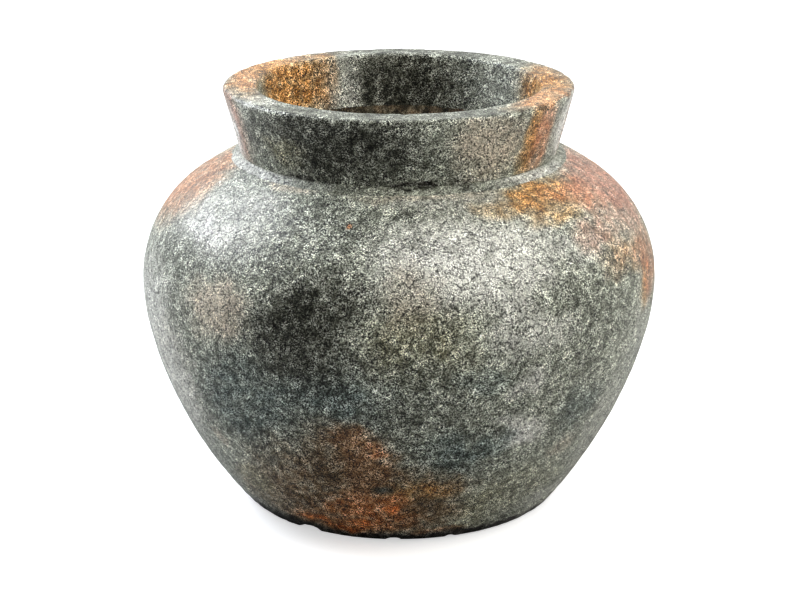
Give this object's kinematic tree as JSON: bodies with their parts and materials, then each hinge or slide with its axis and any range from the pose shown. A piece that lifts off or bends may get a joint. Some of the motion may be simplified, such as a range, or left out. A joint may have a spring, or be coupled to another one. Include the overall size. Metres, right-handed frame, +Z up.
{
  "type": "garden urn",
  "caption": "Round-bellied terracotta garden urn with a narrow flat foot, a wide mouth and a thick flared collar, weathered grey limewash over red clay.",
  "frame": {"origin": "centre of the flat foot, on the surface that the urn stands on", "axes": "+Z up along the axis of the urn, towards the mouth; the urn is a body of revolution, and the side with the rust at its foot faces -Y"},
  "size_m": [0.35, 0.35, 0.285],
  "materials": {
    "limewashed_clay": "hand-built terracotta under a worn dark grey and pale limewash with rust patches, waxed to a satin sheen",
    "bare_clay": "thumbed red-brown clay with a thin dusty grey wash, matt",
    "lime_slip": "pale lime-white slip, wiped and cracked"
  },
  "bodies": {
    "root": {"base_slab": "limewashed_clay", "base_coil": "bare_clay", "lower_bowl": "limewashed_clay", "girth_coil": "bare_clay", "shoulder_dome": "limewashed_clay", "neck_luting_bead": "lime_slip", "neck_coil": "bare_clay", "collar": "limewashed_clay"}
  },
  "joints": []
}
